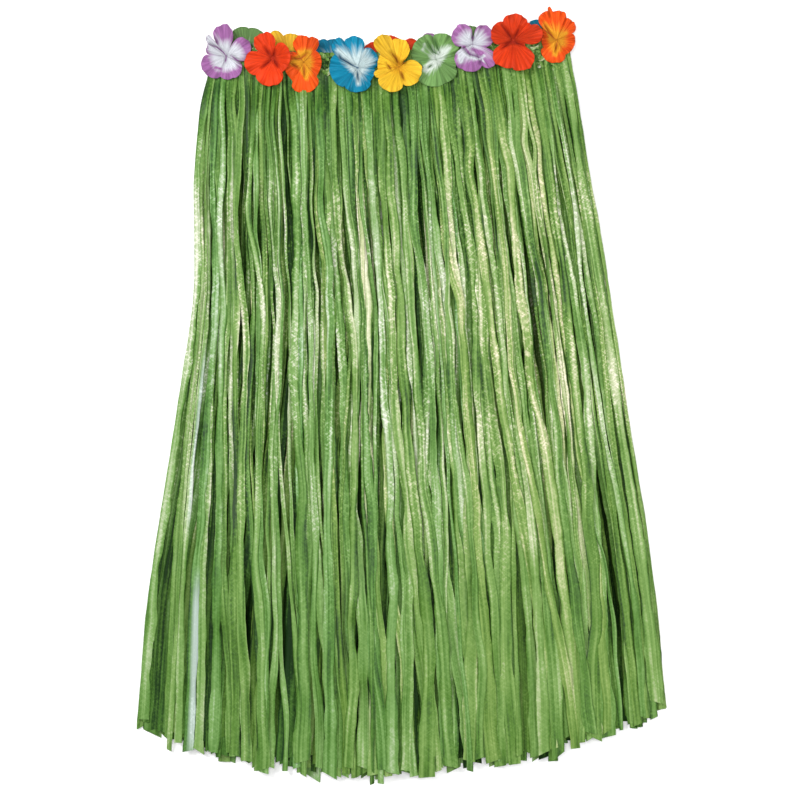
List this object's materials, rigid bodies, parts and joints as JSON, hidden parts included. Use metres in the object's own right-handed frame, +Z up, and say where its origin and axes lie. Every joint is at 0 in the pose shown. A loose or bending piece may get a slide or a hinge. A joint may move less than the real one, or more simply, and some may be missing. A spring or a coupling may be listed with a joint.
{
  "type": "grass skirt",
  "caption": "Grass skirt of green plastic raffia, laid flat, with strands hanging from header tapes on a flat waistband and cupped silk flowers sewn round the waist.",
  "frame": {"origin": "middle of the underside of the whole skirt, on the surface that it lies on", "axes": "+Y from the hem towards the waistband, +Z up out of the skirt's front, +X across it, to the right as one looks down at the front with the waist at the top"},
  "size_m": [0.5534, 0.8146, 0.0341],
  "materials": {
    "raffia_outer": "glossy crinkled plastic raffia, yellow green",
    "raffia_middle": "glossy crinkled plastic raffia, mid green",
    "raffia_inner": "glossy crinkled plastic raffia, deep green",
    "waistband": "elastic band wrapped all round with olive green raffia",
    "petal_purple": "dyed silk, white at the centre and lilac at the edge",
    "petal_red": "dyed silk, red with darker folds",
    "petal_orange": "dyed silk, orange with a golden throat",
    "petal_blue": "dyed silk, blue with a white throat and rays",
    "petal_yellow": "dyed silk, golden yellow",
    "petal_green": "dyed silk, leaf green with a pale throat"
  },
  "bodies": {
    "root": {"waistband_front": "waistband", "waistband_back": "waistband", "fringe_front_outer": "raffia_outer", "fringe_front_middle": "raffia_middle", "fringe_front_inner": "raffia_inner", "fringe_back_inner": "raffia_inner", "fringe_back_middle": "raffia_middle", "fringe_back_outer": "raffia_outer", "flower_front_1_purple": "petal_purple", "flower_front_2_red": "petal_red", "flower_front_3_orange": "petal_orange", "flower_front_4_blue": "petal_blue", "flower_front_5_yellow": "petal_yellow", "flower_front_6_green": "petal_green", "flower_front_7_purple": "petal_purple", "flower_front_8_red": "petal_red", "flower_front_9_orange": "petal_orange", "flower_back_1_green": "petal_green", "flower_back_2_yellow": "petal_yellow", "flower_back_3_blue": "petal_blue", "flower_back_4_red": "petal_red", "flower_back_5_purple": "petal_purple", "flower_back_6_green": "petal_green", "flower_back_7_orange": "petal_orange", "flower_back_8_blue": "petal_blue"}
  },
  "joints": []
}
